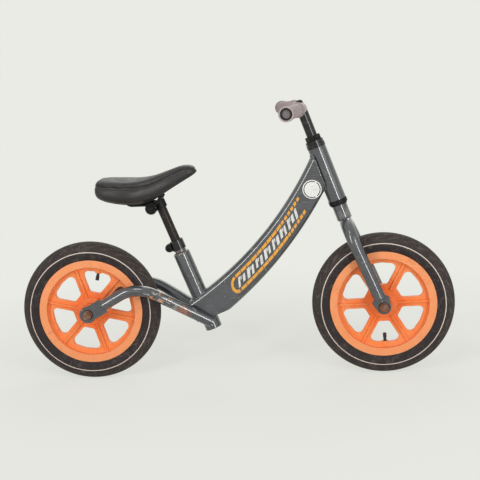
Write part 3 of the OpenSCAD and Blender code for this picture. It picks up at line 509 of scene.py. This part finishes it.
def piece(
    name,
    points,
    finish,
    body,
    around=True,
    poles=(False, False),
    looped=False,
    sharp=None,
    marks=None,
):
    """A surface through a grid of points (rows, columns, 3), or several (sheets, rows, columns, 3).

    Each row closes on itself where around is set, the first and last row meet where looped is set,
    and a pole closes an end row with a fan of triangles.
    """
    sheets = points if points.ndim == 4 else points[None]
    count, rows, cols = sheets.shape[:3]
    ends = [end for end, wanted in enumerate(poles) if wanted]
    centres = [sheets[:, -1 if end else 0].mean(1)[:, None] for end in ends]
    flat = np.concatenate([sheets.reshape(count, -1, 3)] + centres, 1)
    i = np.arange(rows if looped else rows - 1)[:, None]
    j = np.arange(cols if around else cols - 1)[None, :]
    i2, j2 = (i + 1) % rows, (j + 1) % cols
    quads = np.stack(
        [i * cols + j, i * cols + j2, i2 * cols + j2, i2 * cols + j], -1
    ).reshape(-1, 4)
    k = np.arange(cols)
    fans = np.zeros((0, 3), int)
    for nth, end in enumerate(ends):
        a, b = (rows - 1) * end * cols + k, (rows - 1) * end * cols + (k + 1) % cols
        centre = np.full(cols, rows * cols + nth)
        fans = np.vstack([fans, np.stack([a, b, centre] if end else [b, a, centre], -1)])
    v = flat[0][np.vstack([quads[:, [0, 1, 2]], quads[:, [0, 2, 3]], fans])]
    if np.einsum("ij,ij->", v[:, 0], np.cross(v[:, 1], v[:, 2])) < 0:
        quads, fans = quads[:, ::-1], fans[:, ::-1]
    shift = flat.shape[1] * np.arange(count)[:, None, None]
    faces = (
        (quads[None] + shift).reshape(-1, 4).tolist() + (fans[None] + shift).reshape(-1, 3).tolist()
    )
    mesh = bpy.data.meshes.new(name)
    mesh.from_pydata(flat.reshape(-1, 3).tolist(), [], faces)
    mesh.polygons.foreach_set("use_smooth", np.ones(len(faces), bool))
    if sharp:
        mesh.set_sharp_from_angle(angle=math.radians(sharp))
    if marks is not None:
        full = np.zeros(flat.shape[0] * flat.shape[1], np.float32)
        full[: marks.size] = marks.ravel()
        mesh.attributes.new("mark", "FLOAT", "POINT").data.foreach_set("value", full)
    mesh.update()
    made = bpy.data.objects.new(name, mesh)
    mesh.materials.append(finish)
    bpy.context.scene.collection.objects.link(made)
    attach(made, body)
    return made


def tube_rows(path, radius, sides=12):
    """Rings of points round a path, each square to it; radius may vary along the path."""
    step = np.roll(path, -1, 0) - np.roll(path, 1, 0)
    step /= np.linalg.norm(step, axis=1)[:, None] + 1e-12
    side = np.cross(step, [0.13, 0.99, 0.05])
    side /= np.linalg.norm(side, axis=1)[:, None] + 1e-12
    other = np.cross(step, side)
    a = np.linspace(0, 2 * np.pi, sides, endpoint=False)
    r = np.broadcast_to(np.asarray(radius, float), (len(path),))[:, None, None]
    return (
        path[:, None]
        + r * (np.cos(a)[None, :, None] * side[:, None] + np.sin(a)[None, :, None] * other[:, None])
    )


def tyre(name, axle_x, body, node, turns, finish):
    """A tyre: a ring of circular section swept round the axle, open towards the rim.

    Two grooves run round the tread and slanting sipes cross each shoulder, half a step apart left
    and right; a groove's depth falls off with the distance from its line. Sizes in millimetres.
    """
    around, out, inside, sipes = 1008, 56, 12, 28
    section_axis, outer_radius, bore_radius, half_open, sipe_slant = 120, 22.0, 17.5, 140, 0.62
    theta = np.linspace(0, 2 * np.pi, around, endpoint=False)[:, None]
    phi = np.linspace(-half_open, half_open, out)[None, :]
    steep = np.abs(phi)
    lead = np.where(phi > 0, 0.5, 0.0) + 2.1 * (steep - 20) / 42 * 0.55
    off = (theta / (2 * np.pi) * sipes + turns - lead) % 1.0
    off = np.minimum(off, 1 - off) * (section_axis + outer_radius) * 2 * np.pi / sipes * sipe_slant
    shoulder = np.clip((steep - 19) / 4, 0, 1) * np.clip((64 - steep) / 8, 0, 1)
    cut = np.clip(1 - off / 1.5, 0, 1) ** 0.7 * shoulder
    ring = np.clip(1 - np.abs(steep - 11) / 2.6, 0, 1) ** 0.7
    wall = np.clip(1 - np.abs(steep - 78) / 5, 0, 1)
    depth = 1.3 * np.maximum(cut, ring) + 0.25 * wall
    r = outer_radius - depth
    rad = np.radians(phi)
    outer = np.stack([section_axis + r * np.cos(rad), r * np.sin(rad) + 0 * theta], -1)
    back = np.radians(np.linspace(half_open, -half_open, inside))[None, :] + 0 * theta
    inner = np.stack([section_axis + bore_radius * np.cos(back), bore_radius * np.sin(back)], -1)
    both = np.concatenate([outer, inner], 1) / 1000
    t = theta + 0 * both[..., 0]
    points = np.stack(
        [axle_x + both[..., 0] * np.cos(t), both[..., 1], AXLE_Z + both[..., 0] * np.sin(t)], -1
    )
    marks = np.concatenate([cut + 0.4 * ring + 0 * theta, np.zeros((around, inside))], 1)
    made = piece(name, points, finish, body, looped=True, marks=marks)
    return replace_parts(made, node)


for word, axle_x, turns in (("rear", -AXLE_X, 0.2), ("front", AXLE_X, 0.55)):
    rubber = nodes[word + "_tyre"].data.materials[0]
    tyre(word + "_tyre_tread", axle_x, word + "_wheel", word + "_tyre", turns, rubber)

# Saddle stations, each with its place along the length 0..1, bottom, top and half width; all the
# saddle's sizes are in millimetres, with heights and lengths from the clamp bolt
STATIONS = np.array(
    [
        [0.00, 24.5, 59.5, 45.0],
        [0.03, 20.0, 61.2, 52.0],
        [0.12, 12.5, 62, 59.5],
        [0.27, 6.5, 61, 62],
        [0.42, 4.5, 60.5, 54.6],
        [0.57, 11.5, 64.5, 40],
        [0.72, 29.5, 74, 27],
        [0.86, 46.5, 82.5, 20.7],
        [0.95, 58.5, 82, 17.1],
        [1.00, 66.5, 75.5, 9.9],
    ]
)
CLAMP = np.array([-158.29, 0, 349.89])
SADDLE_LEN, SADDLE_BACK = 199, -108
PAN_ENDS, PAN_ROOF, PAN_SLOPE = (22, 134.5), 28.8, math.radians(3)
RING = 96


def stations_at(u):
    """Stations between the given ones, by a smooth curve through them."""
    last = len(STATIONS) - 1
    k = np.minimum((u * last).astype(int), last - 1)
    t = (u * last - k)[:, None]
    a, b, c, d = (STATIONS[np.clip(k + s, 0, last)] for s in (-1, 0, 1, 2))
    return (
        0.5
        * (
            2 * b
            + (c - a) * t
            + (2 * a - 5 * b + 4 * c - d) * t**2
            + (3 * b - a - 3 * c + d) * t**3
        )
    )


def saddle_rows():
    """Rings of the saddle from back to nose, with both ends rounded off.

    A swollen super-ellipse runs over the top and sides, with a soft crease below the shoulder and a
    rolled lower edge, and the hollow underneath follows the pan.
    """
    u = (1 - np.cos(np.linspace(0, np.pi, 170))) / 2
    q = stations_at(u)
    run = q[:, 0] * SADDLE_LEN
    big = np.where(u < 0.5, 7.0, 6.0)
    d = np.clip(np.where(u < 0.5, run, SADDLE_LEN - run), 0, big)
    shrink = big - np.sqrt(np.maximum(0, big**2 - (big - d) ** 2))
    low, top, half = q[:, 1] + shrink, q[:, 2] - shrink, q[:, 3] - shrink
    mid, h = (low + top) / 2, (top - low) / 2
    a = np.radians(np.linspace(-48, 228, RING))[None, :]
    c, s = np.cos(a), np.sin(a)
    height = np.degrees(np.where(a > np.pi / 2, np.pi - a, a))
    fade = np.clip((h - 6) / 14, 0, 1)[:, None]
    crease = np.exp(-(((height - 30 - 6 * u[:, None]) / 8.0) ** 2)) * 2.6 * fade
    puff = np.exp(-(((height - 58) / 20.0) ** 2)) * 0.9
    puff = puff + np.exp(-(((height + 4) / 22.0) ** 2)) * 1.1 * fade
    waves = np.sin(run[:, None] * 0.21 + 3 * s)
    ripple = 0.28 * waves * np.exp(-(((height - 28) / 16.0) ** 2)) * fade
    tuck = np.exp(-(((height + 48) / 9.0) ** 2)) * 1.5 * fade
    grow = 1 + (puff - crease - tuck + ripple - 0.9) / np.maximum(np.minimum(h, half), 8)[:, None]
    y = half[:, None] * np.sign(c) * np.abs(c) ** 0.78 * grow
    z = mid[:, None] + h[:, None] * np.sign(s) * np.abs(s) ** 0.78 * grow
    inside = np.clip((run - PAN_ENDS[0]) / 3, 0, 1) * np.clip((PAN_ENDS[1] - run) / 3, 0, 1)
    lip = np.abs(y[:, :1])
    pan_half = np.interp(run, [22, 78, 134], [36.8, 36.8, 21.0])[:, None]
    w = np.clip(np.minimum(lip - 2.5, pan_half), 1.0, None)
    roof = (PAN_ROOF + (run + SADDLE_BACK) * math.tan(PAN_SLOPE))[:, None]
    floor = z[:, :1]
    roof = floor + np.maximum(roof - floor, 0) * inside[:, None]
    side = np.linspace(0, 1, 8)[None, 1:]
    across = np.linspace(-1, 1, 14)[None, 1:-1]
    inner_y = np.concatenate([-w + 0 * side, w * across, (w + 0 * side)[:, ::-1]], 1)
    wall = floor + (roof - floor) * side
    inner_z = np.concatenate([wall, roof + 0 * across, wall[:, ::-1]], 1)
    y, z = np.concatenate([y, inner_y], 1), np.concatenate([z, inner_z], 1)
    x = (SADDLE_BACK + run)[:, None] + 0 * y
    return (np.stack([x, y, z], -1) + CLAMP) / 1000


rows = saddle_rows()
skin = piece("saddle_skin", rows, vinyl, "saddle", poles=(True, True), sharp=50)
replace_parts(skin, "saddle_cover")
edge = np.concatenate([rows[8:-8, 0], rows[8:-8, RING - 1][::-1]])
piping = tube_rows(edge, 0.0013, 10)
piece("saddle_piping", piping, pan_finish, "saddle", looped=True)


# Side of the main tube: an angle round the upper arc's centre, and a share 0..1 from its upper to
# its lower edge; each arc has its centre (x, z) and its radius
ARC_TOP, ARC_TOP_R = np.array([-0.481, 0.7606]), 0.718
ARC_LOW, ARC_LOW_R = np.array([-0.527, 0.7746]), 0.819


def on_tube(angle, share):
    """Places (x, z) on the main tube's flat side."""
    out = np.stack([np.cos(angle), np.sin(angle)], -1)
    gap = out @ (ARC_TOP - ARC_LOW)
    low = -gap + np.sqrt(gap**2 - ((ARC_TOP - ARC_LOW) ** 2).sum() + ARC_LOW_R**2)
    return ARC_TOP + (ARC_TOP_R + share * (low - ARC_TOP_R))[..., None] * out


def plates(name, places, finish, thick=0.00025):
    """Thin stickers on both sides of the main tube; places is (stickers, rows, columns, 2)."""
    for word, side in (("right", -1), ("left", 1)):
        y = np.broadcast_to(side * (0.019 + thick), places.shape[:-1])
        face = np.stack([places[..., 0], y, places[..., 1]], -1)
        under = face[:, :, ::-1] - [0, side * (thick + 0.0002), 0]
        sheet = np.concatenate([face, under], 2)
        full_name = word + "_" + name
        piece(full_name, sheet, finish, "frame", poles=(True, True), sharp=40)


def strokes(starts, widths, low, high, lean, rows=7, cols=9):
    """Slanted bars on the tube's side, leaning forward towards its top edge.

    Starts, widths and lean are angles in degrees; low and high are shares of the tube's height.
    """
    run = np.linspace(0, 1, rows)[None, :, None]
    across = np.linspace(0, 1, cols)[None, None, :]
    starts, widths = (
        np.asarray(starts, float)[:, None, None], np.asarray(widths, float)[:, None, None]
    )
    low, high = (
        np.broadcast_to(np.asarray(v, float), starts.shape[:1])[:, None, None] for v in (low, high)
    )
    share = low + (high - low) * across + 0 * run
    angle = starts + widths * run + lean * (0.75 - share)
    return on_tube(np.radians(angle), share + 0 * angle)


def print_ink(name, base, worn):
    """Printed film, rubbed thin in places so the paint below greys it."""
    f = Finish(name)
    rubbed = f.band(f.noise(150, 6, 0.7, warp=0.5), 0.52, 0.64, 0, worn)
    colour = f.mix(rubbed, base, tone(120, 122, 124))
    colour = f.mix(f.band(f.noise(60, 3), 0.35, 0.7, 0, 0.25), colour, shade(base, 0.8))
    rough = f.band(f.noise(80, 3), 0.3, 0.7, 0.3, 0.45)
    return f.close(colour, rough, 0.0, f.bump(f.noise(500, 3), 0.0001, 0.4), coat=0.3)


amber = print_ink("amber_film", tone(244, 170, 54), 0.5)
white = print_ink("white_film", tone(232, 230, 226), 0.45)
dash, fine = np.arange(9), np.arange(6)
dash_wide = np.r_[np.full(9, 1.1), np.full(6, 0.6)]
upper_starts = np.r_[-49.9 + 1.22 * dash, -38.9 + 0.86 * fine]
lower_starts = np.r_[-49.5 + 1.2 * dash, -38.7 + 0.8 * fine]
upper_line = strokes(upper_starts, dash_wide, 0.25, 0.345, 2.4)
lower_line = strokes(lower_starts, dash_wide, 0.70, 0.795, 2.4)
sweep = np.radians(np.linspace(90, 270, 24))[None, :, None]
reach = np.array([0.175, 0.27])[None, None, :] * np.ones((1, 24, 1))
share = 0.525 - reach * np.sin(sweep)
bend = on_tube(np.radians(-49.0 + reach * 4.4 * np.cos(sweep) - 1.6 * (share - 0.3)), share)
plates("tube_dashes", np.concatenate([upper_line, lower_line]), amber)
plates("tube_dash_bend", bend, amber)
bars = np.arange(15)
wide = 0.42 + 0.16 * np.sin(bars * 2.3) ** 2
starts = -50.0 + 0.98 * bars
low, high = 0.385 + 0.03 * (bars % 2), 0.655 - 0.04 * (bars % 3 == 1)
plates("tube_bars", strokes(starts, wide, low, high, 3.6), white)
slim = np.arange(7) * 2
beside = starts[slim] + wide[slim] + 0.08
plates("tube_slivers", strokes(beside, np.full(7, 0.2), 0.40, 0.50, 3.6), white)


STICKER_X, STICKER_Z = 0.1624, 0.377


def ring_film():
    """A round white sticker with a dark ring inside its edge, scuffed and slightly yellowed."""
    f = Finish("ring_sticker_film")
    x, _, z = f.axes(f.place(shift=(-STICKER_X, 0, -STICKER_Z)))
    radius = f.distance(x, z)
    ring = f.times(f.band(radius, 0.0148, 0.0152), f.band(radius, 0.0166, 0.0170, 1, 0))
    angle = f.math("ABSOLUTE", f.math("ARCTAN2", z, x))
    gaps = f.band(f.math("ABSOLUTE", f.math("SUBTRACT", angle, 1.05)), 0.1, 0.14)
    colour = f.mix(
        f.band(f.noise(120, 5), 0.4, 0.7, 0, 0.3), tone(238, 238, 234), tone(206, 208, 198)
    )
    colour = f.mix(f.times(ring, gaps), colour, tone(44, 46, 48))
    scratches = f.band(f.noise(260, 5, 0.7), 0.6, 0.66, 0, 0.7)
    colour = f.mix(
        f.times(scratches, f.band(radius, 0.004, 0.012, 1, 0)), colour, tone(168, 196, 160)
    )
    rough = f.band(f.noise(90, 3), 0.3, 0.7, 0.35, 0.5)
    return f.close(colour, rough, 0.0, f.bump(f.noise(600, 3), 0.0001, 0.4), coat=0.3)


turn = np.linspace(0, 2 * np.pi, 72, endpoint=False)[None, :]
sticker_film = ring_film()
for word, side in (("right", -1), ("left", 1)):
    radius = np.array([0.002, 0.008, 0.014, 0.0186, 0.0188, 0.0186, 0.002])[:, None]
    height = side * np.array([0.01935, 0.01935, 0.01935, 0.01935, 0.0192, 0.0188, 0.0188])[:, None]
    x, z = STICKER_X + radius * np.cos(turn), STICKER_Z + radius * np.sin(turn)
    disc = np.stack([x, height + 0 * turn, z], -1)
    full_name = word + "_ring_sticker"
    piece(full_name, disc, sticker_film, "frame", poles=(True, True), sharp=40)


def solve(below, low, high):
    """Where a falling function crosses zero, by halving the range again and again."""
    for _ in range(40):
        mid = (low + high) / 2
        over = below(mid) > 0
        low, high = np.where(over, mid, low), np.where(over, high, mid)
    return (low + high) / 2


def bead(name, path):
    """A weld bead: a closed tube along a seam, its thickness swelling in small scales."""
    length = np.r_[0, np.cumsum(np.linalg.norm(np.diff(path, axis=0), axis=1))]
    scale = np.mod(length / 0.0032 + 0.2 * np.sin(length * 400), 1.0)
    thickness = 0.0021 * (0.82 + 0.3 * scale**0.6 * (1 - scale**6))
    piece(name, tube_rows(path, thickness), paint, "frame", looped=True)


def head_seam():
    """Seam where the main tube, a rounded rectangle, meets the head tube and the flat behind it."""
    a = np.linspace(0, 2 * np.pi, 420, endpoint=False)
    y = 0.019 * np.sign(np.cos(a)) * np.abs(np.cos(a)) ** 0.45
    share = 0.5 - 0.5 * np.sign(np.sin(a)) * np.abs(np.sin(a)) ** 0.45
    need = np.where(np.abs(y) < 0.0134, np.sqrt(np.maximum(0.018**2 - y**2, 0)), 0.012)
    ahead = np.array([math.cos(HEAD_LEAN), math.sin(HEAD_LEAN)])
    spot = np.array([STEER.x, STEER.z])

    def short_of_tube(t):
        return (spot - on_tube(t, share)) @ ahead - need

    angle = solve(short_of_tube, np.radians(-60.0) + 0 * a, np.radians(-8.0) + 0 * a)
    place = on_tube(angle, share)
    return np.stack([place[:, 0], y, place[:, 1]], -1)


def seat_seam():
    """Seam where the seat tube, radius 16.8 mm, rises out of the main tube's upper side."""
    a = np.linspace(0, 2 * np.pi, 300, endpoint=False)
    back = np.array([SEAT_UP.z, -SEAT_UP.x])
    y = 0.0168 * np.sin(a)
    drop = 0.011 - np.sqrt(np.maximum(0.011**2 - np.maximum(np.abs(y) - 0.008, 0) ** 2, 0))
    foot, rise = np.array([SEAT_FOOT.x, SEAT_FOOT.z]), np.array([SEAT_UP.x, SEAT_UP.z])

    def spot(t):
        return foot + t[:, None] * rise + 0.0168 * np.cos(a)[:, None] * back

    def under_surface(t):
        return np.linalg.norm(spot(t) - ARC_TOP, axis=1) - ARC_TOP_R - drop

    place = spot(solve(under_surface, 0 * a, 0 * a + 0.2))
    return np.stack([place[:, 0], y, place[:, 1]], -1)


bead("head_tube_weld", head_seam())
bead("seat_tube_weld", seat_seam())


def end_ring(side, node):
    """A dark ring set in the end face of a grip: a flat band turned round the grip's own axis."""
    co = np.array([v.co for v in nodes[node].data.vertices])
    middle = co.mean(0)
    axis = np.linalg.svd((co - middle)[::7], full_matrices=False)[2][0]
    axis *= np.sign(axis[1] * side)
    reach = ((co - middle) @ axis).max()
    far = co[(co - middle) @ axis > reach - 0.004]
    centre = far.mean(0)
    centre = centre + axis * (reach - (centre - middle) @ axis)
    across = np.cross(axis, [0, 0, 1.0])
    across /= np.linalg.norm(across)
    over = np.cross(across, axis)
    turn = np.linspace(0, 2 * np.pi, 64, endpoint=False)[:, None]
    radius = np.array([0.0076, 0.0078, 0.0111, 0.0115, 0.0115, 0.0076])[None, :]
    depth = np.array([0.0, 0.00022, 0.00022, 0.0, -0.0008, -0.0008])[None, :]
    spokes = np.cos(turn)[..., None] * across + np.sin(turn)[..., None] * over
    return centre + radius[..., None] * spokes + depth[..., None] * axis


for word, side in (("left", 1), ("right", -1)):
    ring = end_ring(side, word + "_grip")
    full_name = word + "_end_ring"
    piece(full_name, ring, ring_finish, "handlebar_set", looped=True, sharp=40)
